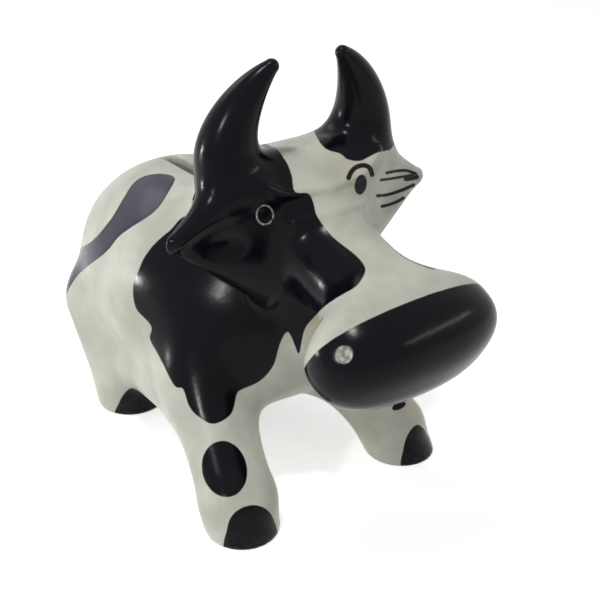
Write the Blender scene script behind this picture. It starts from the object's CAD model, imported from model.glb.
"""Carved soapstone cow money box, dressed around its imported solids.

One signed-distance field describes the whole carved figure. It is built as a geometry node tree, and each
stone piece is the part of that field beyond its glue faces. Black dye, ink lines and scraped marks are
distances stored on the meshes, which the soapstone finish turns into colour and gloss.

Shapes are given in millimetres from the middle of the torso: x to the cow's left, y to its rump, z from the
floor. Marks that show in the reference view are drawn in its pixels.
"""

import logging
import math
from dataclasses import dataclass
from enum import Enum
from functools import partial

import bmesh
import bpy
import numpy as np
from mathutils import Matrix, Vector


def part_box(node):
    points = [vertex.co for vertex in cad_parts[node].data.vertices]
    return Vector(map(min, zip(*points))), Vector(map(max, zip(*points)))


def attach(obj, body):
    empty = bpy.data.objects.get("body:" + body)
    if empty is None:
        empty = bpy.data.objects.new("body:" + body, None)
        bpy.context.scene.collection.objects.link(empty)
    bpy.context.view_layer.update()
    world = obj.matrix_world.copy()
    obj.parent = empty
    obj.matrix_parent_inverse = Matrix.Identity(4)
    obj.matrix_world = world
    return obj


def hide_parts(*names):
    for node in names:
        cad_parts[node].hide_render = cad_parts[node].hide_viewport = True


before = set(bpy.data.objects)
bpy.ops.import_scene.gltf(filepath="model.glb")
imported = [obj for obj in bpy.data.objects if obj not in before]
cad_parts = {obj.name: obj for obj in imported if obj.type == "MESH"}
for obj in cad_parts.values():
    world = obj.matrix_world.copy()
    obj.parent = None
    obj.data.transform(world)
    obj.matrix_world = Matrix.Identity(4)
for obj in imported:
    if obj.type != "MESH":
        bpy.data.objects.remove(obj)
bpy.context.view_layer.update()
LOG = logging.getLogger("cow")
MM = 0.001
CUT_GAP = 1e-7
GLUE_GAP = 1e-6
LEAST_RUN = 1e-9
LEAST_VOXELS = 8
SIDES = ((1, "left"), (-1, "right"))
MIX = "ShaderNodeMix"
MATH = "ShaderNodeMath"
VECTOR = "ShaderNodeVectorMath"
NOISE = "ShaderNodeTexNoise"
RANGE = "ShaderNodeMapRange"
Point = tuple[float, float, float]
Pair = tuple[float, float]
Plane = tuple[Vector, Vector]
Socket = bpy.types.NodeSocket


def linear(code: str) -> tuple[float, float, float, float]:
    """Turns an sRGB hex colour such as "#rrggbb" into linear RGBA with an alpha of 1."""
    parts = [int(code[i:i + 2], 16) / 255 for i in (1, 3, 5)]
    return (*[c / 12.92 if c <= 0.04045 else ((c + 0.055) / 1.055) ** 2.4 for c in parts], 1.0)


def add_node(tree: bpy.types.NodeTree, kind: str, *inputs: object, **settings: object) -> Socket:
    """Adds one node with its settings, and links or sets its inputs in order.

    Args:
        tree: node tree that takes the node.
        kind: type name of the node.
        inputs: for each input in use a socket to link, a value to set, or None to leave it.
        settings: properties of the node, set before its inputs.

    Returns:
        The first output in use, or None for a node that has no outputs.
    """
    node = tree.nodes.new(kind)
    for name, value in settings.items():
        setattr(node, name, value)
    for socket, value in zip([s for s in node.inputs if s.enabled], inputs):
        if isinstance(value, Socket):
            tree.links.new(value, socket)
        elif value is not None:
            socket.default_value = value
    return next((s for s in node.outputs if s.enabled), None)


def blank_material(name: str) -> bpy.types.Material:
    """Makes a material with an empty node tree.

    Args:
        name: name of the material.

    Returns:
        The new material.
    """
    material = bpy.data.materials.new(name)
    material.use_nodes = True
    material.node_tree.nodes.clear()
    return material


@dataclass(frozen=True)
class Lump:
    """An egg-shaped form.

    Its radii are half its width, length and height. Its pitch in degrees points its front end down, a
    fullness over 2 makes it boxier, and both puts one on each side.
    """

    centre: Point
    radii: Point
    pitch: float = 0
    fullness: float = 2
    both: bool = False


@dataclass(frozen=True)
class Limb:
    """A round limb that tapers evenly between two round ends.

    For a leaf, thin is its thickness along Y as a share of its height. Both puts one on each side.
    """

    start: Point
    end: Point
    radii: Pair = (0.0, 0.0)
    thin: float = 1
    both: bool = False


class Carving:
    """A stone form as a signed-distance field in millimetres, in a geometry node tree that meshes it.

    The methods that add a form give the distance to its surface, below zero inside. Its label starts the
    names of the inputs for its sizes.
    """

    outside = -1.0

    def __init__(self, name: str, middle: float) -> None:
        """Starts the tree with the point at which the field is read.

        Args:
            name: name of the node tree.
            middle: place of the torso's middle along Y, in millimetres.
        """
        self.tree = bpy.data.node_groups.new(name, "GeometryNodeTree")
        self.node = partial(add_node, self.tree)
        self.identifiers: dict[str, str] = {}
        for side in ("INPUT", "OUTPUT"):
            self.tree.interface.new_socket("Geometry", in_out=side, socket_type="NodeSocketGeometry")
        self.entry = self.tree.nodes.new("NodeGroupInput")
        place = self.node("GeometryNodeInputPosition")
        scaled = self.node(VECTOR, place, 1 / MM, operation="SCALE")
        self.point = self.node(VECTOR, scaled, self.size("Middle", (0, middle, 0)), operation="SUBTRACT")
        parts = self.node("ShaderNodeSeparateXYZ", self.point).node.outputs
        side = self.node(MATH, parts[0], operation="ABSOLUTE")
        self.height = parts[2]
        self.folded = self.node("ShaderNodeCombineXYZ", side, parts[1], parts[2])

    def size(self, label: str, value: object, kind: str = "") -> Socket:
        """Adds a named input for a size.

        Args:
            label: name of the input.
            value: its value, a number or a point.
            kind: socket type where it isn't told by the value.

        Returns:
            The socket that carries the size in the tree.
        """
        kind = kind or ("NodeSocketVector" if isinstance(value, tuple) else "NodeSocketFloat")
        socket = self.tree.interface.new_socket(label, in_out="INPUT", socket_type=kind)
        socket.default_value = value
        self.identifiers[label] = socket.identifier
        return self.entry.outputs[label]

    def lump(self, label: str, form: Lump) -> Socket:
        """Adds an egg-shaped form.

        Args:
            label: name of the form.
            form: its sizes.

        Returns:
            Distance to the form's surface.
        """
        point = self.folded if form.both else self.point
        off = self.node(VECTOR, point, self.size(f"{label} Centre", form.centre), operation="SUBTRACT")
        tilt = -math.radians(form.pitch)
        turned = self.node("ShaderNodeVectorRotate", off, None, tilt, rotation_type="X_AXIS")
        radii = self.size(f"{label} Radii", form.radii)
        share = self.node(VECTOR, turned, radii, operation="DIVIDE")
        total = None
        for part in self.node("ShaderNodeSeparateXYZ", share).node.outputs:
            size = self.node(MATH, part, operation="ABSOLUTE")
            power = self.node(MATH, size, form.fullness, operation="POWER")
            total = self.node(MATH, power, total, operation="ADD") if total else power
        reach = self.node(MATH, total, 1 / form.fullness, operation="POWER")
        slope = self.node(VECTOR, share, radii, operation="DIVIDE")
        steep = self.node(VECTOR, slope, operation="LENGTH")
        excess = self.node(MATH, reach, 1.0, operation="SUBTRACT")
        grown = self.node(MATH, reach, excess, operation="MULTIPLY")
        return self.node(MATH, grown, steep, operation="DIVIDE")

    def along(self, off: Socket, run: Socket, clamp: bool = True) -> Socket:
        """Gives how far an offset reaches along a run, as a share of the run."""
        ahead, whole = (self.node(VECTOR, way, run, operation="DOT_PRODUCT") for way in (off, run))
        return self.node(MATH, ahead, whole, operation="DIVIDE", use_clamp=clamp)

    def skin(self, label: str, gap: Socket, share: Socket, radii: Pair) -> Socket:
        """Gives the distance to a limb's skin from the gap to its core, for radii that change along it."""
        ends = [self.size(f"{label} {end} Radius", value) for end, value in zip(("Start", "End"), radii)]
        return self.node(MATH, gap, self.node(MIX, share, *ends), operation="SUBTRACT")

    def limb(self, label: str, form: Limb) -> Socket:
        """Adds a round limb.

        Args:
            label: name of the form.
            form: its sizes.

        Returns:
            Distance to the form's surface.
        """
        point = self.folded if form.both else self.point
        start, end = self.size(f"{label} Start", form.start), self.size(f"{label} End", form.end)
        run = self.node(VECTOR, end, start, operation="SUBTRACT")
        off = self.node(VECTOR, point, start, operation="SUBTRACT")
        if form.thin != 1:
            stretch = (1, 1 / form.thin, 1)
            run, off = (self.node(VECTOR, way, stretch, operation="MULTIPLY") for way in (run, off))
        share = self.along(off, run)
        foot = self.node(VECTOR, run, share, operation="SCALE")
        gap = self.node(VECTOR, off, foot, operation="DISTANCE")
        return self.skin(label, gap, share, form.radii)

    def horn(self, label: str, points: tuple[Point, ...], radii: Pair, taper: float,
             steps: int = 3) -> Socket:
        """Adds a horn on each side that bends along a curve and thins to its tip.

        Args:
            label: name of the form.
            points: control points of the left horn's curve, root first.
            radii: radius at the root and at the tip.
            taper: 1 for an even taper, more for a horn that stays thick for longer.
            steps: how often the nearest point on the curve is drawn closer.

        Returns:
            Distance to the horns' surface.
        """
        knots = [self.size(f"{label} Point {i}", point) for i, point in enumerate(points)]
        top = self.node(VECTOR, knots[-1], knots[0], operation="SUBTRACT")
        off = self.node(VECTOR, self.folded, knots[0], operation="SUBTRACT")
        share = self.along(off, top)
        for step in range(steps + 1):
            level = knots
            while len(level) > 1:
                tangent = self.node(VECTOR, level[-1], level[0], operation="SUBTRACT")
                level = [self.node(MIX, share, a, b, data_type="VECTOR") for a, b in zip(level, level[1:])]
            off = self.node(VECTOR, self.folded, level[0], operation="SUBTRACT")
            if step < steps:
                run = self.node(VECTOR, tangent, float(len(points) - 1), operation="SCALE")
                shift = self.along(off, run, clamp=False)
                share = self.node(MATH, share, shift, operation="ADD", use_clamp=True)
        gap = self.node(VECTOR, off, operation="LENGTH")
        eased = self.node(MATH, share, self.size(f"{label} Taper", taper), operation="POWER")
        return self.skin(label, gap, eased, radii)

    def bar(self, label: str, centre: Point, half: Point) -> Socket:
        """Adds a square-cornered bar.

        Args:
            label: name of the form.
            centre: middle of the bar.
            half: half its width, length and height.

        Returns:
            Distance to the form's surface.
        """
        off = self.node(VECTOR, self.point, self.size(f"{label} Centre", centre), operation="SUBTRACT")
        size = self.node(VECTOR, off, operation="ABSOLUTE")
        out = self.node(VECTOR, size, self.size(f"{label} Half", half), operation="SUBTRACT")
        parts = self.node("ShaderNodeSeparateXYZ", out).node.outputs
        wide = self.node(MATH, parts[0], parts[1], operation="MAXIMUM")
        return self.node(MATH, wide, parts[2], operation="MAXIMUM")

    def well(self, label: str, roof: Point, radius: float) -> Socket:
        """Adds an upright round hole that opens downwards.

        Args:
            label: name of the form.
            roof: middle of its roof.
            radius: radius of the hole.

        Returns:
            Distance to the form's surface.
        """
        off = self.node(VECTOR, self.point, self.size(f"{label} Roof", roof), operation="SUBTRACT")
        flat = self.node(VECTOR, off, (1, 1, 0), operation="MULTIPLY")
        out = self.node(VECTOR, flat, operation="LENGTH")
        wall = self.node(MATH, out, self.size(f"{label} Radius", radius), operation="SUBTRACT")
        parts = self.node("ShaderNodeSeparateXYZ", off).node.outputs
        return self.node(MATH, wall, parts[2], operation="MAXIMUM")

    def blend(self, reach: float, *forms: Socket) -> Socket:
        """Joins forms with a soft fillet.

        Args:
            reach: reach of the fillet.
            forms: distance to each form.

        Returns:
            Distance to them all.
        """
        whole = forms[0]
        for form in forms[1:]:
            whole = self.node(MATH, whole, form, reach, operation="SMOOTH_MIN")
        return whole

    def hollow(self, reach: float, body: Socket, *cutters: Socket) -> Socket:
        """Cuts forms out of a body.

        Args:
            reach: how far the edges are softened.
            body: distance to the body.
            cutters: distance to each form that is cut out.

        Returns:
            Distance to what is left.
        """
        for cutter in cutters:
            away = self.node(MATH, cutter, -1.0, operation="MULTIPLY")
            body = self.node(MATH, body, away, reach, operation="SMOOTH_MAX")
        return body

    def ridge(self, size: Pair, body: Socket, *lines: Socket) -> Socket:
        """Raises a thin ridge on a body along lines that lie on it.

        Args:
            size: height of the ridge and half its width.
            body: distance to the body.
            lines: distance to each line.

        Returns:
            Distance to the ridged body.
        """
        height, width = size
        gap = self.blend(0.0, *lines)
        raised = self.node(RANGE, gap, 0.0, width, height, 0.0, interpolation_type="SMOOTHSTEP")
        return self.node(MATH, body, raised, operation="SUBTRACT")

    def close(self, body: Socket, material: bpy.types.Material) -> None:
        """Ends the tree with the mesh of the field inside a region.

        Args:
            body: distance to the whole form.
            material: finish that the mesh takes.
        """
        self.material = material
        low = self.size("Region Low", (0.0, 0.0, 0.0))
        high = self.size("Region High", (1.0, 1.0, 1.0))
        counts = [self.size(f"Voxels {axis}", LEAST_VOXELS, "NodeSocketInt") for axis in "XYZ"]
        density = self.node(MATH, body, -1.0, operation="MULTIPLY")
        volume = self.node("GeometryNodeVolumeCube", density, self.outside, low, high, *counts)
        mesh = self.node("GeometryNodeVolumeToMesh", volume, 0.0, 0.0)
        smooth = self.node("GeometryNodeSetShadeSmooth", mesh)
        real = self.node("GeometryNodeRealizeInstances", smooth)
        dressed = self.node("GeometryNodeSetMaterial", real, None, material)
        self.node("NodeGroupOutput", dressed)

    def mesh(self, name: str, low: Vector, high: Vector, voxel: float) -> bpy.types.Object:
        """Meshes the field inside a box.

        Args:
            name: name of the new piece.
            low: lowest corner of the box, in metres.
            high: highest corner of the box, in metres.
            voxel: width of one voxel, in millimetres.

        Returns:
            A plain mesh object at the origin.
        """
        piece = bpy.data.objects.new(name, bpy.data.meshes.new(name))
        bpy.context.scene.collection.objects.link(piece)
        modifier = piece.modifiers.new("Carving", "NODES")
        modifier.node_group = self.tree
        counts = [max(LEAST_VOXELS, round((b - a) / (voxel * MM))) for a, b in zip(low, high)]
        values = {"Region Low": tuple(low), "Region High": tuple(high)}
        values.update({f"Voxels {axis}": count for axis, count in zip("XYZ", counts)})
        for label, value in values.items():
            modifier[self.identifiers[label]] = value
        graph = bpy.context.evaluated_depsgraph_get()
        baked = bpy.data.meshes.new_from_object(piece.evaluated_get(graph), depsgraph=graph)
        piece.modifiers.remove(modifier)
        piece.data = baked
        baked.name = name
        baked.materials.clear()
        baked.materials.append(self.material)
        baked.polygons.foreach_set("material_index", np.zeros(len(baked.polygons), np.int32))
        return piece


def trim(piece: bpy.types.Object, planes: list[Plane]) -> None:
    """Cuts a closed piece off at its glue faces.

    Args:
        piece: mesh object that is cut.
        planes: a point on each glue face and its normal, which points at what is cut away.
    """
    shape = bmesh.new()
    shape.from_mesh(piece.data)
    for point, normal in planes:
        everything = shape.verts[:] + shape.edges[:] + shape.faces[:]
        bmesh.ops.bisect_plane(shape, geom=everything, dist=CUT_GAP, plane_co=point, plane_no=normal,
                               clear_outer=True)
        rim = [edge for edge in shape.edges if edge.is_boundary]
        bmesh.ops.triangle_fill(shape, use_beauty=False, use_dissolve=False, edges=rim, normal=normal)
        for edge in rim:
            edge.smooth = False
    bmesh.ops.recalc_face_normals(shape, faces=shape.faces[:])
    shape.to_mesh(piece.data)
    shape.free()


@dataclass
class Torso:
    """The hollow egg of the body, with coin slot, chamber and belly hole."""

    egg: Lump = Lump((0, 0.4, 48.2), (36.7, 56.6, 36.2), fullness=2.03)
    flank: Limb = Limb((22.0, -26.0, 25.0), (20.5, 13.0, 21.5), (12.0, 10.5), both=True)
    flank_blend: float = 14.0
    flat: Lump = Lump((12.0, 8.0, 92.8), (42.0, 62.0, 12.4))
    chamber: Lump = Lump((0, 6.0, 48.0), (25.4, 38.0, 25.4))
    slot_centre: Point = (0, 10.5, 68.0)
    slot_half: Point = (2.7, 16.5, 25.0)
    bore_roof: Point = (0, 0, 40.0)
    bore_radius: float = 11.0
    seat_roof: Point = (0, 0, 14.4)
    seat_radius: float = 13.65
    lip: float = 2.0

    def form(self, carving: Carving) -> Socket:
        """Adds the egg of the torso to the field."""
        return carving.lump("Torso", self.egg)

    def body(self, carving: Carving) -> Socket:
        """Adds the torso with the folds under its flanks, and its back rubbed flat where the slot is cut."""
        whole = carving.blend(self.flank_blend, self.form(carving), carving.limb("Flank", self.flank))
        return carving.hollow(self.lip, whole, carving.lump("Slot Flat", self.flat))

    def emptied(self, carving: Carving, figure: Socket) -> Socket:
        """Cuts chamber, slot and belly hole out of the figure.

        Args:
            carving: field that takes the form.
            figure: distance to the solid figure.

        Returns:
            Distance to the hollow figure.
        """
        chamber = carving.lump("Chamber", self.chamber)
        slot = carving.bar("Slot", self.slot_centre, self.slot_half)
        bore = carving.well("Bore", self.bore_roof, self.bore_radius)
        seat = carving.well("Stopper Seat", self.seat_roof, self.seat_radius)
        return carving.hollow(self.lip, figure, chamber, slot, bore, seat)

    def surface(self, outside: Point, inside: Point) -> Plane:
        """Finds where a line from outside meets the torso.

        Args:
            outside: start of the line.
            inside: end of the line, within the torso.

        Returns:
            The point on the torso and its outward normal.
        """
        centre, radii = np.array(self.egg.centre), np.array(self.egg.radii)
        start = (np.array(outside) - centre) / radii
        run = (np.array(inside) - outside) / radii
        a, b, c = run @ run, start @ run, start @ start - 1
        unit = start + run * ((-b - math.sqrt(b * b - a * c)) / a)
        return Vector(unit * radii + centre), Vector(unit / radii).normalized()


@dataclass
class Leg:
    """One leg: a slanting shaft, and an upright hoof with a flat sole."""

    node: str
    root: Point
    ankle: Point
    sole: Point
    radii: Point
    fillet: float
    collar: float
    ankle_blend: float = 3.0

    def form(self, carving: Carving) -> Socket:
        """Adds the leg to the field.

        Args:
            carving: field that takes the form.

        Returns:
            Distance to the form's surface.
        """
        label = self.node.replace("_", " ").title()
        shaft = carving.limb(f"{label} Shaft", Limb(self.root, self.ankle, self.radii[:2]))
        hoof = carving.limb(f"{label} Hoof", Limb(self.ankle, self.sole, self.radii[1:]))
        return carving.blend(self.ankle_blend, shaft, hoof)

    def seat(self, torso: Torso) -> Plane:
        """Gives the glue face: a point and a normal that points down the leg."""
        point, normal = torso.surface(self.ankle, self.root)
        return point + normal * self.collar, normal


@dataclass
class Head:
    """Skull, face, muzzle and neck, with horns and ears in the same field.

    The size of a ridge, crest or fold, is its height and half its width.
    """

    throat: Limb = Limb((0, -21.7, 66.0), (0, -43.7, 80.0), (24.0, 17.0))
    dewlap: Limb = Limb((0, -44.0, 71.0), (0, -54.0, 47.5), (16.5, 8.0))
    skull: Lump = Lump((0, -44.1, 91.2), (22.5, 15.2, 12.9), pitch=14.8)
    face: Limb = Limb((0, -49.3, 81.3), (0, -78.1, 70.2), (13.0, 13.4))
    muzzle: Lump = Lump((0, -89.7, 64.5), (28.3, 13.9, 15.6), pitch=28.0, fullness=2.4)
    brow: Limb = Limb((16.0, -52.2, 95.8), (0, -56.6, 94.4), (3.0, 3.0), both=True)
    bridge: Limb = Limb((10.0, -57.2, 88.2), (0, -61.3, 88.8), (2.6, 2.6), both=True)
    crest: Limb = Limb((13.3, -57.0, 96.7), (0, -58.8, 96.3), both=True)
    crest_end: Limb = Limb((20.3, -54.1, 101.1), (13.3, -57.0, 96.7), both=True)
    crest_size: Pair = (0.8, 1.9)
    fold: Limb = Limb((11.5, -59.8, 89.4), (0, -63.4, 91.1), both=True)
    fold_size: Pair = (0.45, 1.8)
    horn_points: tuple[Point, ...] = ((20.1, -43.6, 98.6), (25.7, -42.8, 106.0), (19.9, -46.3, 120.9),
                                      (11.3, -48.9, 128.1))
    horn_radii: Pair = (9.3, 2.0)
    horn_taper: float = 1.6
    ear: Limb = Limb((12.0, -48.0, 82.0), (40.8, -47.4, 86.2), (20.0, 2.0), thin=0.36, both=True)
    ear_roll: Limb = Limb((28.0, -46.8, 93.6), (40.2, -47.6, 87.2), (4.6, 2.4), both=True)
    ear_scoop: Lump = Lump((32.0, -52.9, 84.0), (9.0, 3.4, 5.2), both=True)
    ear_scoop_lip: float = 3.0
    nostrils: tuple[Lump, ...] = (Lump((-25.5, -96.7, 72.3), (2.5, 2.5, 2.5)),
                                  Lump((28.0, -93.3, 70.4), (2.5, 2.5, 2.5)))
    nostril_lip: float = 0.6
    dewlap_blend: float = 6.0
    neck_blend: float = 5.0
    head_blend: float = 7.5
    face_blend: float = 12.0
    muzzle_blend: float = 13.5
    brow_blend: float = 2.5
    horn_blend: float = 16.0
    ear_roll_blend: float = 4.0
    ear_blend: float = 11.0
    neck_cut: Point = (0, -34.2, 71.1)
    neck_pitch: float = 29.4
    horn_ear_edge: Point = (25.5, -44.0, 95.5)
    edge_run: Point = (0.3, -1.0, 0.0)
    horn_cut_inner: Point = (10.0, -44.0, 103.5)
    ear_cut_lower: Point = (24.0, -44.0, 77.0)
    between_cut_outer: Point = (40.0, -44.0, 99.0)

    def form(self, carving: Carving) -> Socket:
        """Adds head, horns and ears to the field, without the neck.

        Args:
            carving: field that takes the form.

        Returns:
            Distance to the form's surface.
        """
        skull, face = carving.lump("Skull", self.skull), carving.limb("Face", self.face)
        whole = carving.blend(self.face_blend, skull, face)
        whole = carving.blend(self.muzzle_blend, whole, carving.lump("Muzzle", self.muzzle))
        brows = carving.limb("Brow", self.brow), carving.limb("Bridge", self.bridge)
        whole = carving.blend(self.brow_blend, whole, *brows)
        horns = carving.horn("Horn", self.horn_points, self.horn_radii, self.horn_taper)
        whole = carving.blend(self.horn_blend, whole, horns)
        leaves, rolls = carving.limb("Ear", self.ear), carving.limb("Ear Roll", self.ear_roll)
        whole = carving.blend(self.ear_blend, whole, carving.blend(self.ear_roll_blend, leaves, rolls))
        whole = carving.hollow(self.ear_scoop_lip, whole, carving.lump("Ear Scoop", self.ear_scoop))
        crests = carving.limb("Crest", self.crest), carving.limb("Crest End", self.crest_end)
        whole = carving.ridge(self.crest_size, whole, *crests)
        whole = carving.ridge(self.fold_size, whole, carving.limb("Fold", self.fold))
        pits = [carving.lump(f"Nostril {i}", pit) for i, pit in enumerate(self.nostrils)]
        return carving.hollow(self.nostril_lip, whole, *pits)

    def neck(self, carving: Carving) -> Socket:
        """Adds the neck and the fold of skin under it to the field."""
        throat, dewlap = carving.limb("Neck", self.throat), carving.limb("Dewlap", self.dewlap)
        return carving.blend(self.dewlap_blend, throat, dewlap)

    def neck_seat(self) -> Plane:
        """Gives the neck's glue face, with a normal that points up into the head."""
        pitch = math.radians(self.neck_pitch)
        return Vector(self.neck_cut), Vector((0, -math.sin(pitch), math.cos(pitch)))

    def cut(self, other: Point, side: int) -> Plane:
        """Gives a glue face through the edge that horn and ear share.

        Args:
            other: another point of the left side's face.
            side: 1 for the cow's left, -1 for its right.

        Returns:
            A point on the face and its normal, which points up and out.
        """
        edge = Vector(self.horn_ear_edge)
        normal = Vector(self.edge_run).cross(Vector(other) - edge).normalized()
        normal *= math.copysign(1, normal.x + normal.z)
        turn = Vector((side, 1, 1))
        return edge * turn, normal * turn


@dataclass
class Tail:
    """The tail, carved as a rope down the rump with a tuft at its end."""

    upper: Limb = Limb((0, 47.6, 66.4), (0, 53.8, 59.2), (2.6, 3.2))
    lower: Limb = Limb((0, 53.8, 59.2), (0, 56.8, 47.0), (3.2, 2.8))
    tuft: Lump = Lump((0, 57.0, 41.5), (5.6, 4.2, 9.6))
    bend_blend: float = 1.0
    tuft_blend: float = 3.0
    seat_edge: float = 0.3

    def form(self, carving: Carving, torso: Torso) -> Socket:
        """Adds the tail to its own field, lying on the torso.

        Args:
            carving: field that takes the form.
            torso: torso that it lies on.

        Returns:
            Distance to the form's surface.
        """
        upper, lower = carving.limb("Tail Upper", self.upper), carving.limb("Tail Lower", self.lower)
        rope = carving.blend(self.bend_blend, upper, lower)
        tail = carving.blend(self.tuft_blend, rope, carving.lump("Tail Tuft", self.tuft))
        return carving.hollow(self.seat_edge, tail, torso.form(carving))


class PhotoView:
    """The camera of the reference view, and where it sees a point."""

    azimuth = math.radians(-36.5)
    elevation = math.radians(27.0)
    distance = 340.0
    target = (11.4, -8.1, 48.0)
    focal_pixels = 1114.0
    image_pixels = 600.0
    sensor_width = 36.0
    clip_start = 0.01

    def __init__(self) -> None:
        """Works out the camera's axes."""
        a, e = self.azimuth, self.elevation
        self.back = np.array((math.sin(a) * math.cos(e), -math.cos(a) * math.cos(e), math.sin(e)))
        self.right = np.array((math.cos(a), math.sin(a), 0))
        self.up = np.cross(self.back, self.right)
        self.eye = np.array(self.target) + self.back * self.distance

    def project(self, points: np.ndarray) -> tuple[np.ndarray, np.ndarray]:
        """Projects points into the image.

        Args:
            points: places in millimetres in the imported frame.

        Returns:
            Pixel coordinates of each point, and the pixels that one millimetre takes there.
        """
        off = points - self.eye
        scale = self.focal_pixels / -(off @ self.back)
        across = self.image_pixels / 2 + scale * (off @ self.right)
        down = self.image_pixels / 2 - scale * (off @ self.up)
        return np.stack((across, down), axis=1), scale

    def place(self) -> None:
        """Adds the camera to the scene."""
        data = bpy.data.cameras.new("reference_camera")
        data.sensor_width = self.sensor_width
        data.lens = self.focal_pixels / self.image_pixels * self.sensor_width
        data.clip_start = self.clip_start
        camera = bpy.data.objects.new("reference_camera", data)
        turn = Matrix(np.stack((self.right, self.up, self.back), axis=1).tolist()).to_4x4()
        camera.matrix_world = Matrix.Translation(Vector(self.eye * MM)) @ turn
        bpy.context.scene.collection.objects.link(camera)
        bpy.context.scene.camera = camera


class Chart(Enum):
    """Views in which dye is drawn flat, by their axes across, up and towards the viewer."""

    PHOTO = None
    LEFT = ((0, 1, 0), (0, 0, 1), (1, 0, 0))
    REAR = ((-1, 0, 0), (0, 0, 1), (0, 1, 0))


@dataclass(frozen=True)
class Patch:
    """One patch of black dye: its nodes, its outline in a chart, and how far it reaches along Y."""

    nodes: tuple[str, ...]
    outline: tuple[Pair, ...]
    chart: Chart = Chart.PHOTO
    faded: bool = False
    rear_end: float = 100.0


@dataclass(frozen=True)
class Stroke:
    """One inked line in the reference view, with half its width in pixels."""

    points: tuple[Pair, ...]
    half_width: float


def rounded(points: tuple[Pair, ...], closed: bool, steps: int = 8) -> np.ndarray:
    """Draws a smooth line through points.

    Args:
        points: places that the line passes.
        closed: True if it goes back to its start.
        steps: short runs from one point to the next.

    Returns:
        The places along the line, in order.
    """
    knots = np.array(points, float)
    ends = (knots[-1:], knots[:2]) if closed else (knots[:1], knots[-1:])
    knots = np.concatenate((ends[0], knots, ends[1]))
    a, b, c, d = knots[:-3], knots[1:-2], knots[2:-1], knots[3:]
    t = np.linspace(0, 1, steps, endpoint=False)[None, :, None]
    a, b, c, d = (k[:, None, :] for k in (a, b, c, d))
    line = b + 0.5 * t * (c - a + t * (2 * a - 5 * b + 4 * c - d + t * (3 * (b - c) + d - a)))
    return np.concatenate((line.reshape(-1, 2), c[-1]))


def line_gap(places: np.ndarray, line: np.ndarray) -> np.ndarray:
    """Measures how far each place is from a line.

    Args:
        places: flat places.
        line: places along the line.

    Returns:
        The distance of each place.
    """
    gap = np.full(len(places), np.inf)
    for a, b in zip(line, line[1:]):
        run = b - a
        share = np.clip((places - a) @ run / max(run @ run, LEAST_RUN), 0, 1)
        gap = np.minimum(gap, np.linalg.norm(places - a - share[:, None] * run, axis=1))
    return gap


def depth_inside(places: np.ndarray, line: np.ndarray) -> np.ndarray:
    """Measures how deep each place lies inside a closed line.

    Args:
        places: flat places.
        line: places along the closed line.

    Returns:
        The distance to the line, below zero outside.
    """
    across, up = places.T
    odd = np.zeros(len(places), bool)
    for a, b in zip(line, line[1:]):
        if a[1] != b[1]:
            reach = a[0] + (up - a[1]) * (b[0] - a[0]) / (b[1] - a[1])
            odd ^= ((a[1] > up) != (b[1] > up)) & (across < reach)
    return np.where(odd, 1, -1) * line_gap(places, line)


def ellipse(centre: Pair, radii: Pair, tilt: float = 0, count: int = 10) -> tuple[Pair, ...]:
    """Gives points round an ellipse.

    Args:
        centre: its middle.
        radii: half its width and its height.
        tilt: turn of its width towards its height, in degrees.
        count: number of points.

    Returns:
        The points, in order.
    """
    turn = math.radians(tilt)
    points = []
    for step in range(count):
        angle = 2 * math.pi * step / count
        x, y = radii[0] * math.cos(angle), radii[1] * math.sin(angle)
        points.append((centre[0] + x * math.cos(turn) - y * math.sin(turn),
                       centre[1] + x * math.sin(turn) + y * math.cos(turn)))
    return tuple(points)


def read(items: bpy.types.bpy_prop_collection, name: str, width: int, kind: type = np.float32) -> np.ndarray:
    """Reads one property of every item.

    Args:
        items: the items.
        name: name of the property.
        width: number of its parts.
        kind: type of its parts.

    Returns:
        A row for each item.
    """
    values = np.empty(len(items) * width, kind)
    items.foreach_get(name, values)
    return values.reshape(-1, width)


def outer_normals(mesh: bpy.types.Mesh, planes: list[Plane]) -> np.ndarray:
    """Works out the outward direction at each vertex from the faces that aren't glue faces.

    Args:
        mesh: the mesh.
        planes: a point on each glue face and its normal.

    Returns:
        A direction of length 1 for each vertex.
    """
    centres, normals = read(mesh.polygons, "center", 3), read(mesh.polygons, "normal", 3)
    weights = read(mesh.polygons, "area", 1).ravel()
    sides = read(mesh.polygons, "loop_total", 1, np.int32).ravel()
    corners = read(mesh.loops, "vertex_index", 1, np.int32).ravel()
    for point, normal in planes:
        weights[np.abs((centres - np.array(point)) @ np.array(normal)) < GLUE_GAP] = 0
    shares = np.repeat(normals * weights[:, None], sides, axis=0)
    total = np.stack([np.bincount(corners, shares[:, axis], len(mesh.vertices)) for axis in range(3)], axis=1)
    return total / np.maximum(np.linalg.norm(total, axis=1, keepdims=True), np.finfo(float).tiny)


@dataclass(frozen=True)
class Skin:
    """Places on a piece, in millimetres about the torso's middle, and the outward directions there."""

    places: np.ndarray
    normals: np.ndarray


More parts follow.
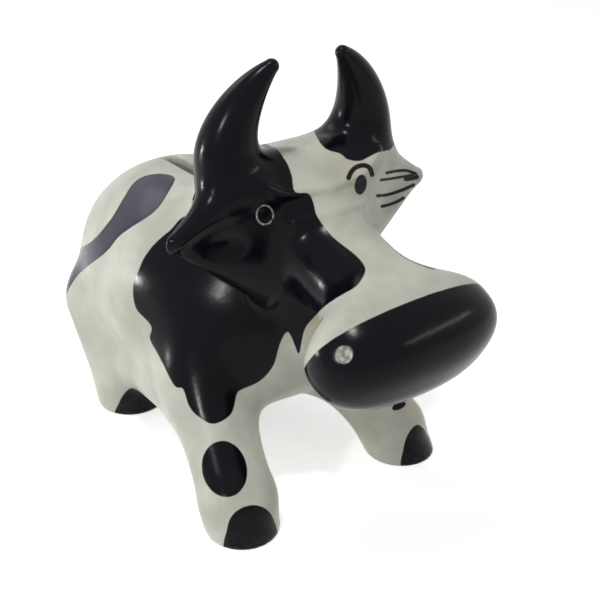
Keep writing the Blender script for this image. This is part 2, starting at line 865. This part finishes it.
class Markings:
    """Black dye, ink lines and scraped marks, stored on the stone as depths in millimetres.

    A mark ends where the stone turns away from its viewer, at the facing that its edge gives.
    """

    # Depth beyond which none is measured, and depth that a facing of 1 stands for, in millimetres
    far = 8.0
    facing_mm = 30.0
    # Facing at which a mark ends, and half the span over which the seen and the unseen side meet
    chart_edge = 0.1
    ink_edge = 0.02
    scratch_edge = 0.05
    turn = 0.1
    patches = (
        Patch(("torso", "leg_front_right"), ((168, 232), (147, 253), (138, 272), (133, 287), (136, 308),
            (151, 326), (150, 339), (159, 356), (174, 385), (183, 389), (189, 406), (199, 417), (214, 424),
            (231, 414), (237, 394), (243, 389), (260, 381), (273, 366), (279, 347), (284, 335), (288, 332),
            (292, 338), (295, 346), (299, 354), (302, 340), (305.5, 327.5), (313, 318.4), (325, 306),
            (330, 290), (300, 250), (200, 215)), rear_end=4.0),
        Patch(("torso",), ((145, 176), (162, 174), (174, 177), (172, 186), (155, 211), (122, 234),
            (107, 251), (78, 275), (64, 297), (58, 284), (74, 254), (93, 240), (111, 219), (131, 186)),
            faded=True),
        Patch(("head",), ((272, 147), (285, 160), (291.5, 175), (295, 191.5), (308, 193.5), (313, 202),
            (317.7, 217), (333, 237), (356, 255.6), (364.4, 266), (364.4, 274), (356, 286), (336, 298.5),
            (325, 306), (313, 318.4), (305.5, 327.5), (301.7, 340), (298.6, 354), (270, 380), (190, 300),
            (140, 250), (170, 180), (225, 130))),
        Patch(("head", "ear_left", "horn_left"), ((314, 131), (325, 148), (340, 153.7), (347.7, 159.5),
            (359, 161), (368, 157.5), (376.7, 153), (386, 150.5), (393, 146), (412, 110), (395, 30),
            (330, 25), (300, 90))),
        Patch(("leg_front_right",), ellipse((224.5, 469), (22.5, 28.5), -12)),
        Patch(("leg_front_right",), ((225, 553), (227, 530), (231, 517), (241, 508), (254, 505), (266, 509),
            (274, 520), (279, 537), (284, 556), (255, 575))),
        Patch(("leg_front_left",), ((402, 470), (403, 450), (408, 434), (416, 425), (423, 428), (429, 438),
            (433, 450), (440, 462), (425, 480))),
        Patch(("leg_front_left",), ellipse((399, 406), (7.5, 3.6), -25)),
        Patch(("head",), ((386, 240), (402, 248), (420, 255), (440, 262), (434, 269.5), (418, 264.3),
            (402, 256.6), (389, 244.5))),
        Patch(("leg_rear_right",), ((116, 416), (119, 403), (124, 394), (131, 388), (139, 391), (148, 397),
            (158, 402), (166, 412), (140, 428))),
        Patch(("head",), ((5, 112), (8, 96), (4, 86), (9, 74), (6, 62), (30, 52), (48, 80), (40, 112)),
            Chart.REAR),
        Patch(("head", "ear_left"), ellipse((-20, 101), (12, 11)), Chart.REAR),
        Patch(("torso",), ((33, 66), (37, 50), (30, 36), (21, 34), (16, 43), (19, 54), (25, 62)),
            Chart.REAR, True),
        Patch(("torso",), ((-21, 58), (-13, 59), (-9, 51), (-12, 42), (-19, 39), (-25, 46)), Chart.REAR),
        Patch(("torso",), ((-6, 60), (4, 70), (17, 72), (29, 66), (33, 55), (27, 45), (18, 42), (14, 31),
            (4, 27), (-4, 34), (-2, 45), (-9, 52)), Chart.LEFT),
        Patch(("torso", "leg_front_left"), ((-46, 62), (-36, 66), (-28, 60), (-27, 48), (-33, 38),
            (-42, 36), (-48, 44), (-50, 54)), Chart.LEFT),
        Patch(("torso", "leg_rear_left"), ((28, 39), (37, 38), (41, 29), (36, 21), (27, 19), (20, 25),
            (22, 34)), Chart.LEFT),
        Patch(("head",), ((-84, 78.5), (-75, 80), (-65, 81.5), (-58, 77), (-57, 68), (-64, 62), (-74, 60),
            (-82, 66)), Chart.LEFT),
        Patch(("torso", "head"), ((-30, 81), (-22, 81), (-15, 75), (-18, 67), (-26, 63), (-33, 68),
            (-36, 75)), Chart.LEFT),
        Patch(("leg_front_left",), ellipse((-49, 22), (6.5, 8.5)), Chart.LEFT),
        Patch(("leg_front_left",), ((-64, -3), (-61, 8), (-55, 11), (-49, 8), (-46, -3)), Chart.LEFT),
        Patch(("leg_rear_left",), ((10, -3), (12, 7), (19, 12), (27, 8), (30, -3)), Chart.LEFT),
        Patch(("leg_rear_left",), ((-32, -3), (-30, 7), (-23, 10), (-17, 6), (-14, -3)), Chart.REAR),
        Patch(("leg_rear_right",), ((14, -3), (17, 8), (23, 12), (29, 8), (32, -3)), Chart.REAR),
        Patch(("leg_front_right",), ((22, -3), (24, 6), (31, 9), (37, 6), (40, -3)), Chart.REAR),
    )
    black_nodes = ("horn_left", "horn_right", "ear_right")
    muzzle_point = (0, -90.0, 71.0)
    muzzle_normal = (0, -0.81, -0.585)
    tuft_top = 47.0
    eye = ellipse((360.7, 184.7), (6.0, 10.2), 10)
    strokes = (
        Stroke(((348.5, 178), (351, 172.5), (355, 168),
                (361, 165.5), (367, 166), (370.5, 169.5), (372, 174.5)), 2.4),
        Stroke(((386.7, 173), (396.6, 171), (406.6, 170.6), (415.7, 173.6)), 1.5),
        Stroke(((381, 180), (389, 179), (402.7, 176.7), (412.7, 175)), 1.4),
        Stroke(((405.8, 179), (411, 178.5), (417, 177)), 2.2),
        Stroke(((377.5, 195.8), (387.4, 194.7), (401.2, 190.4), (413.5, 185)), 1.7),
        Stroke(((381.7, 206.5), (390.5, 204.2), (398, 201.2), (403.5, 198)), 1.6),
    )
    scratched_eye = ellipse((264.8, 215), (8.3, 9.6), 0)
    scratch_half_width = 0.7
    nostrils = ((-24.6, -96.1, 71.4), (27.2, -92.5, 69.5))
    nostril_radius = 2.2

    def __init__(self, view: PhotoView, middle: float) -> None:
        """Keeps the reference view and the place of the torso's middle along Y."""
        self.view = view
        self.offset = np.array((0, middle, 0))

    def chart(self, chart: Chart, skin: Skin) -> tuple[np.ndarray, np.ndarray, np.ndarray]:
        """Lays places flat in a chart.

        Args:
            chart: the view to use.
            skin: the places.

        Returns:
            Flat places, the units of the chart in a millimetre, and how far each place faces the viewer.
        """
        places, normals = skin.places, skin.normals
        if chart is Chart.PHOTO:
            flat, unit = self.view.project(places + self.offset)
            away = self.view.eye - places - self.offset
            return flat, unit, (normals * away).sum(1) / np.linalg.norm(away, axis=1)
        across, up, out = (np.array(axis, float) for axis in chart.value)
        return np.stack((places @ across, places @ up), axis=1), np.ones(len(places)), normals @ out

    def bare(self, skin: Skin) -> np.ndarray:
        """Gives the depth of stone that no mark reaches."""
        return np.full(len(skin.places), -self.far)

    def patch_depth(self, patch: Patch, skin: Skin) -> np.ndarray:
        """Measures how deep each place lies in a patch.

        Args:
            patch: the patch.
            skin: the places.

        Returns:
            Depth in millimetres, below zero outside.
        """
        flat, unit, facing = self.chart(patch.chart, skin)
        line = rounded(patch.outline, closed=True)
        reach = self.far * unit[:, None]
        near = ((flat > line.min(0) - reach) & (flat < line.max(0) + reach)).all(1)
        depth = self.bare(skin)
        depth[near] = depth_inside(flat[near], line) / unit[near]
        depth = np.minimum(depth, patch.rear_end - skin.places[:, 1])
        if patch.chart is not Chart.PHOTO:
            depth = np.minimum(depth, (facing - self.chart_edge) * self.facing_mm)
        return np.clip(depth, -self.far, self.far)

    def dye(self, node: str, skin: Skin) -> np.ndarray:
        """Works out the depth inside the black dye of a node.

        Args:
            node: name of the node.
            skin: places on its stone.

        Returns:
            Depth in millimetres, below zero where the stone is bare.
        """
        patches = [patch for patch in self.patches if node in patch.nodes]
        unseen = self.bare(skin) * (-1 if node in self.black_nodes else 1)
        drawn = any(patch.chart is Chart.PHOTO for patch in patches)
        seen = self.bare(skin) if drawn else unseen.copy()
        for patch in patches:
            layer = seen if patch.chart is Chart.PHOTO else unseen
            np.maximum(layer, self.patch_depth(patch, skin), out=layer)
        facing = self.chart(Chart.PHOTO, skin)[2]
        share = np.clip((facing + self.turn) / (2 * self.turn), 0, 1)
        share = share * share * (3 - 2 * share)
        depth = unseen * (1 - share) + seen * share
        if node == "head":
            depth = np.maximum(depth, (skin.places - self.muzzle_point) @ np.array(self.muzzle_normal))
        if node == "tail":
            depth = np.maximum(depth, self.tuft_top - skin.places[:, 2])
        return depth

    def ink(self, node: str, skin: Skin) -> np.ndarray:
        """Works out the depth inside the inked eye, eyebrow and ear lines.

        Args:
            node: name of the node.
            skin: places on its stone.

        Returns:
            Depth in millimetres, below zero outside.
        """
        if node not in ("head", "ear_left"):
            return self.bare(skin)
        flat, unit, facing = self.chart(Chart.PHOTO, skin)
        depth = depth_inside(flat, rounded(self.eye, closed=True)) / unit
        for stroke in self.strokes:
            gap = line_gap(flat, rounded(stroke.points, closed=False))
            depth = np.maximum(depth, (stroke.half_width - gap) / unit)
        return np.minimum(depth, (facing - self.ink_edge) * self.facing_mm)

    def scrape(self, node: str, skin: Skin) -> np.ndarray:
        """Works out the depth inside the scratched eye and the scraped nostrils.

        Args:
            node: name of the node.
            skin: places on its stone.

        Returns:
            Depth in millimetres, below zero outside.
        """
        if node != "head":
            return self.bare(skin)
        flat, unit, facing = self.chart(Chart.PHOTO, skin)
        gap = line_gap(flat, rounded(self.scratched_eye, closed=True))
        front = (facing - self.scratch_edge) * self.facing_mm
        depth = np.minimum((self.scratch_half_width - gap) / unit, front)
        for nostril in self.nostrils:
            depth = np.maximum(depth, self.nostril_radius - np.linalg.norm(skin.places - nostril, axis=1))
        return depth

    def fade(self, node: str, skin: Skin) -> np.ndarray:
        """Works out the depth inside the patches whose dye is rubbed thin.

        Args:
            node: name of the node.
            skin: places on its stone.

        Returns:
            Depth in millimetres, below zero outside.
        """
        depth = self.bare(skin)
        for patch in self.patches:
            if patch.faded and node in patch.nodes:
                np.maximum(depth, self.patch_depth(patch, skin), out=depth)
        return depth

    def mark(self, piece: bpy.types.Object, node: str, planes: list[Plane]) -> None:
        """Stores the markings on a piece.

        Args:
            piece: mesh object that takes them.
            node: name of the node that it stands for.
            planes: a point on each of its glue faces and their normals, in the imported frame.
        """
        mesh = piece.data
        places = read(mesh.vertices, "co", 3).astype(float) / MM - self.offset
        skin = Skin(places, outer_normals(mesh, planes))
        for rule in (self.dye, self.ink, self.scrape, self.fade):
            layer = mesh.attributes.new(rule.__name__, "FLOAT", "POINT")
            layer.data.foreach_set("value", rule(node, skin).astype(np.float32))


@dataclass(frozen=True)
class Soapstone:
    """Soapstone: carved, dyed black in patches, then waxed and rubbed by hand.

    The bare stone is a cloudy greenish cream with a soft wax sheen. Dyed stone is a deep blue-black that
    takes a sharper polish, with a brushed edge. Scratched marks show dry pale stone, and the soles are
    scuffed. Sizes, soft edges and wander are in millimetres, a span is a part of a noise's range, and
    roughness goes from 0 to 1.
    """

    name: str = "waxed_soapstone"
    pale: str = "#c9cabd"
    dull: str = "#b3b4a7"
    vein: str = "#b9b39c"
    black: str = "#0a0910"
    worn_black: str = "#242328"
    faded_black: str = "#43434e"
    ink: str = "#181717"
    dry: str = "#bdbdb6"
    dry_dull: str = "#85847d"
    ior: float = 1.54
    gloss: float = 0.085
    cloud_mm: float = 16.0
    vein_mm: float = 30.0
    grain_mm: float = 1.4
    brush_mm: float = 6.0
    carve_mm: float = 9.0
    noise_detail: float = 4.0
    noise_rough: float = 0.55
    cloud_span: Pair = (0.35, 0.65)
    vein_span: Pair = (0.55, 0.75)
    vein_share: float = 0.7
    rubbed_span: Pair = (0.42, 0.62)
    sheen_span: Pair = (0.3, 0.7)
    waxed_rough: Pair = (0.28, 0.38)
    polished_rough: Pair = (0.17, 0.23)
    ink_rough: float = 0.6
    scuffed_rough: float = 0.45
    dry_rough: float = 0.75
    brush_wander: float = 0.35
    ink_wander: float = 0.15
    scrape_wander: float = 0.3
    brush_soft: float = 0.16
    ink_soft: float = 0.14
    fade_soft: float = 1.5
    scuff_height: float = 7.0
    carve_share: float = 8.0
    scrape_share: float = -4.0
    bump_strength: float = 0.2
    bump_mm: float = 0.06

    def material(self) -> bpy.types.Material:
        """Builds the finish.

        Returns:
            The finished material.
        """
        material = blank_material(self.name)
        tree = material.node_tree
        node = partial(add_node, tree)
        point = node("ShaderNodeTexCoord").node.outputs["Object"]
        sizes = (self.cloud_mm, self.vein_mm, self.grain_mm, self.brush_mm, self.carve_mm)
        noises = (node(NOISE, point, 1 / (size * MM), self.noise_detail, self.noise_rough) for size in sizes)
        cloud, vein, grain, brush, carve = noises

        masks = []
        for name, soft, wander in (("dye", self.brush_soft, self.brush_wander),
                                   ("ink", self.ink_soft, self.ink_wander),
                                   ("scrape", self.ink_soft, self.scrape_wander),
                                   ("fade", self.fade_soft, 0.0)):
            depth = node("ShaderNodeAttribute", attribute_name=name).node.outputs["Fac"]
            shift = node(MATH, brush, wander, -wander / 2, operation="MULTIPLY_ADD")
            moved = node(MATH, depth, shift, operation="ADD")
            masks.append(node(RANGE, moved, -soft, soft, 0.0, 1.0, interpolation_type="SMOOTHSTEP"))
        dyed, inked, scraped, faded = masks

        clouded = node(RANGE, cloud, *self.cloud_span, 0.0, 1.0)
        veined = node(RANGE, vein, *self.vein_span, 0.0, self.vein_share)
        rubbed = node(RANGE, grain, *self.rubbed_span, 0.0, 1.0)
        height = node("ShaderNodeSeparateXYZ", point).node.outputs[2]
        low = node(RANGE, height, 0.0, self.scuff_height * MM, 1.0, 0.0)
        scuff = node(MATH, low, rubbed, operation="MULTIPLY")
        black, dry, colour = linear(self.black), linear(self.dry_dull), linear(self.dull)
        for mask, over in ((scuff, self.worn_black), (faded, self.faded_black)):
            black = node(MIX, mask, black, linear(over), data_type="RGBA")
        dry = node(MIX, rubbed, dry, linear(self.dry), data_type="RGBA")
        for mask, over in ((clouded, linear(self.pale)), (veined, linear(self.vein)),
                           (inked, linear(self.ink)), (dyed, black), (scraped, dry)):
            colour = node(MIX, mask, colour, over, data_type="RGBA")

        waxed = node(RANGE, grain, *self.sheen_span, *self.waxed_rough)
        polished = node(RANGE, cloud, *self.sheen_span, *self.polished_rough)
        rough = node(MIX, dyed, waxed, polished)
        for mask, value in ((inked, self.ink_rough), (scuff, self.scuffed_rough), (scraped, self.dry_rough)):
            rough = node(MIX, mask, rough, value)

        coarse = node(MATH, carve, self.carve_share, grain, operation="MULTIPLY_ADD")
        relief = node(MATH, scraped, self.scrape_share, coarse, operation="MULTIPLY_ADD")
        bump = node("ShaderNodeBump", self.bump_strength, self.bump_mm * MM).node
        tree.links.new(relief, bump.inputs["Height"])
        surface = node("ShaderNodeBsdfPrincipled", colour, 0.0, rough, self.ior)
        surface.node.inputs["Specular IOR Level"].default_value = self.gloss
        tree.links.new(bump.outputs[0], surface.node.inputs["Normal"])
        node("ShaderNodeOutputMaterial", surface)
        return material


@dataclass(frozen=True)
class PlainFinish:
    """A finish of one stuff whose colour and roughness vary over a fine grain."""

    name: str
    dark: str
    light: str
    roughness: Pair
    metallic: float
    grain_mm: float
    noise_detail: float = 3.0
    noise_rough: float = 0.6
    colour_span: Pair = (0.35, 0.65)
    rough_span: Pair = (0.3, 0.7)
    bump_strength: float = 0.3
    bump_mm: float = 0.05

    def material(self) -> bpy.types.Material:
        """Builds the finish.

        Returns:
            The finished material.
        """
        material = blank_material(self.name)
        tree = material.node_tree
        node = partial(add_node, tree)
        point = node("ShaderNodeTexCoord").node.outputs["Object"]
        grain = node(NOISE, point, 1 / (self.grain_mm * MM), self.noise_detail, self.noise_rough)
        share = node(RANGE, grain, *self.colour_span, 0.0, 1.0)
        colour = node(MIX, share, linear(self.dark), linear(self.light), data_type="RGBA")
        rough = node(RANGE, grain, *self.rough_span, *self.roughness)
        bump = node("ShaderNodeBump", self.bump_strength, self.bump_mm * MM).node
        tree.links.new(grain, bump.inputs["Height"])
        surface = node("ShaderNodeBsdfPrincipled", colour, self.metallic, rough)
        tree.links.new(bump.outputs[0], surface.node.inputs["Normal"])
        node("ShaderNodeOutputMaterial", surface)
        return material


# Moulded rubber is a dull charcoal with a faint fine grain
RUBBER = PlainFinish("moulded_rubber", "#1c1b1a", "#2b2a28", (0.55, 0.75), 0.0, 0.9)
# Drawn steel rod is a bright grey with a fine drawn grain
STEEL = PlainFinish("drawn_steel", "#8d8e90", "#b4b5b8", (0.28, 0.45), 1.0, 0.6)


class Cow:
    """The whole figure: its field, its stone pieces and their dressing."""

    sole_edge = 2.5
    # Voxel width and room past the node's box in millimetres, by the first word of a node's name
    grids = {"torso": (0.7, 8.0), "leg": (0.6, 5.0), "horn": (0.5, 4.0), "ear": (0.4, 4.0),
             "head": (0.5, 6.0), "tail": (0.35, 3.0)}

    def __init__(self) -> None:
        """Sets up the parts and the field."""
        low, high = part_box("torso")
        self.middle = (low.y + high.y) / 2 / MM
        self.torso = Torso()
        self.head = Head()
        self.tail = Tail()
        self.legs = [
            Leg("leg_front_left", (19.0, -30.0, 35.0), (28.6, -54.8, 9.0), (31.8, -57.4, -3.0),
                radii=(9.6, 10.2, 10.4), fillet=20.0, collar=6.0),
            Leg("leg_front_right", (-25.0, -31.6, 35.0), (-31.0, -58.0, 9.0), (-30.8, -60.6, -3.0),
                radii=(10.2, 11.0, 10.6), fillet=20.0, collar=6.0),
        ]
        for side, name in SIDES:
            self.legs.append(
                Leg(f"leg_rear_{name}", (22.8 * side, 32.0, 34.4), (22.4 * side, 20.4, 8.0),
                    (22.4 * side, 19.8, -3.0), radii=(13.5, 11.5, 11.2), fillet=12.0, collar=4.0))
        self.finish = Soapstone().material()
        self.markings = Markings(PhotoView(), self.middle)
        self.carving = Carving("cow_field", self.middle)
        self.rope = Carving("tail_field", self.middle)
        self.shape()

    def shape(self) -> None:
        """Joins every form into one field, and the tail into another."""
        carving, torso, head = self.carving, self.torso, self.head
        body = torso.body(carving)
        for leg in self.legs:
            body = carving.blend(leg.fillet, body, leg.form(carving))
        body = carving.blend(head.neck_blend, body, head.neck(carving))
        figure = carving.blend(head.head_blend, body, head.form(carving))
        figure = carving.hollow(self.sole_edge, torso.emptied(carving, figure), carving.height)
        carving.close(figure, self.finish)
        self.rope.close(self.tail.form(self.rope, torso), self.finish)

    def here(self, point: Vector) -> Vector:
        """Moves a point from millimetres about the torso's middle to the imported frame."""
        return (Vector(point) + Vector((0, self.middle, 0))) * MM

    def piece(self, carving: Carving, node: str, planes: list[Plane]) -> None:
        """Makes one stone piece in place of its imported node.

        Args:
            carving: field that the piece is cut from.
            node: name of the node.
            planes: glue faces, with normals that point out of the piece.
        """
        voxel, margin = self.grids[node.split("_")[0]]
        low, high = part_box(node)
        room = Vector((margin, margin, margin)) * MM
        made = carving.mesh(f"stone_{node}", low - room, high + room, voxel)
        cuts = [(self.here(point), normal) for point, normal in planes]
        trim(made, cuts)
        self.markings.mark(made, node, cuts)
        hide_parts(node)
        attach(made, "figure")
        LOG.info("%s: %d faces", made.name, len(made.data.polygons))

    def build(self) -> None:
        """Makes every stone piece."""
        neck_point, neck_normal = self.head.neck_seat()
        neck = (neck_point, -neck_normal)
        seats = [leg.seat(self.torso) for leg in self.legs]
        self.piece(self.carving, "torso", [(neck_point, neck_normal), *seats])
        for leg, (point, normal) in zip(self.legs, seats):
            self.piece(self.carving, leg.node, [(point, -normal)])
        head_cuts = [neck]
        for side, name in SIDES:
            horn = self.head.cut(self.head.horn_cut_inner, side)
            ear = self.head.cut(self.head.ear_cut_lower, side)
            between = self.head.cut(self.head.between_cut_outer, side)
            head_cuts += [horn, ear]
            self.piece(self.carving, f"horn_{name}", [(horn[0], -horn[1]), (between[0], -between[1])])
            self.piece(self.carving, f"ear_{name}", [(ear[0], -ear[1]), between, neck])
        self.piece(self.carving, "head", head_cuts)
        self.piece(self.rope, "tail", [])
        self.dress_fittings()

    def dress_fittings(self) -> None:
        """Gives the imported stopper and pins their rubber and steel."""
        steel, rubber = STEEL.material(), RUBBER.material()
        for node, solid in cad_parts.items():
            if node == "belly_stopper" or "pin" in node:
                solid.data.materials.clear()
                solid.data.materials.append(steel if "pin" in node else rubber)
                LOG.info("%s: %s", node, solid.data.materials[0].name)


@dataclass(frozen=True)
class Lamp:
    """A flat soft lamp.

    Its azimuth goes from the figure's front towards its left side and its elevation up from the floor, in
    degrees. Its distance, width and height are in metres and its power in watts.
    """

    name: str
    azimuth: float
    elevation: float
    distance: float
    size: Pair
    power: float

    def place(self, aim: Vector) -> None:
        """Adds the lamp to the scene.

        Args:
            aim: point that it looks at.
        """
        data = bpy.data.lights.new(self.name, "AREA")
        data.energy = self.power
        data.shape = "RECTANGLE"
        data.size, data.size_y = self.size
        lamp = bpy.data.objects.new(self.name, data)
        a, e = math.radians(self.azimuth), math.radians(self.elevation)
        towards = Vector((math.sin(a) * math.cos(e), -math.cos(a) * math.cos(e), math.sin(e)))
        lamp.location = aim + towards * self.distance
        lamp.rotation_mode = "QUATERNION"
        lamp.rotation_quaternion = towards.to_track_quat("Z", "Y")
        bpy.context.scene.collection.objects.link(lamp)


@dataclass
class Studio:
    """White sweep, soft lamps and the pale room round them."""

    floor_half: float = 30.0
    floor: str = "#fbfbfb"
    floor_glow: float = 0.62
    room: float = 0.2
    aim: Point = (0, 0, 0.05)
    lamps: tuple[Lamp, ...] = (
        Lamp("side_lamp", -76, 27, 0.75, (0.045, 0.055), 1.4),
        Lamp("rear_side_lamp", -130, 1, 0.75, (0.06, 0.06), 1.4),
        Lamp("front_strip", 40, 24, 0.8, (0.56, 0.045), 0.95),
        Lamp("top_lamp", -70, 74, 0.7, (0.09, 0.09), 2.0),
        Lamp("back_softbox", -165, 40, 1.0, (0.4, 0.4), 1.2),
    )

    def build(self) -> None:
        """Adds floor, lamps and room to the scene."""
        mesh = bpy.data.meshes.new("floor")
        signs = ((-1, -1), (1, -1), (1, 1), (-1, 1))
        corners = [(x * self.floor_half, y * self.floor_half, 0) for x, y in signs]
        mesh.from_pydata(corners, [], [(0, 1, 2, 3)])
        floor = bpy.data.objects.new("floor", mesh)
        bpy.context.scene.collection.objects.link(floor)
        mesh.materials.append(self.floor_finish())
        for lamp in self.lamps:
            lamp.place(Vector(self.aim))
        self.light_room()

    def floor_finish(self) -> bpy.types.Material:
        """Builds a matt white that stays white to the eye, with a soft shadow under the figure.

        Returns:
            The finished material.
        """
        material = blank_material("white_sweep")
        node = partial(add_node, material.node_tree)
        matt = node("ShaderNodeBsdfDiffuse", linear(self.floor))
        glow = node("ShaderNodeEmission", (1, 1, 1, 1), self.floor_glow)
        both = node("ShaderNodeAddShader", matt, glow)
        mixed = node("ShaderNodeMixShader", self.seen(material.node_tree), matt, both)
        node("ShaderNodeOutputMaterial", mixed)
        return material

    def seen(self, tree: bpy.types.NodeTree) -> Socket:
        """Tells rays from the camera, and those that a gloss or glass sends on, from others.

        Args:
            tree: node tree that takes the nodes.

        Returns:
            1 on the former rays and 0 on the latter.
        """
        paths = add_node(tree, "ShaderNodeLightPath").node.outputs
        either = add_node(tree, MATH, paths["Is Camera Ray"], paths["Is Glossy Ray"], operation="MAXIMUM")
        return add_node(tree, MATH, either, paths["Is Transmission Ray"], operation="MAXIMUM")

    def light_room(self) -> None:
        """Adds a pale room that is white where the camera sees it."""
        world = bpy.data.worlds.new("pale_room")
        world.use_nodes = True
        bpy.context.scene.world = world
        tree = world.node_tree
        tree.nodes.clear()
        strength = add_node(tree, RANGE, self.seen(tree), 0.0, 1.0, self.room, 1.0)
        sky = add_node(tree, "ShaderNodeBackground", (1, 1, 1, 1), strength)
        add_node(tree, "ShaderNodeOutputWorld", sky)


def main() -> None:
    """Builds the figure, the studio and the camera."""
    logging.basicConfig(level=logging.INFO, format="%(name)s: %(message)s")
    bpy.context.scene.view_settings.view_transform = "Standard"
    Cow().build()
    Studio().build()
    PhotoView().place()


if __name__ == "__main__":
    main()
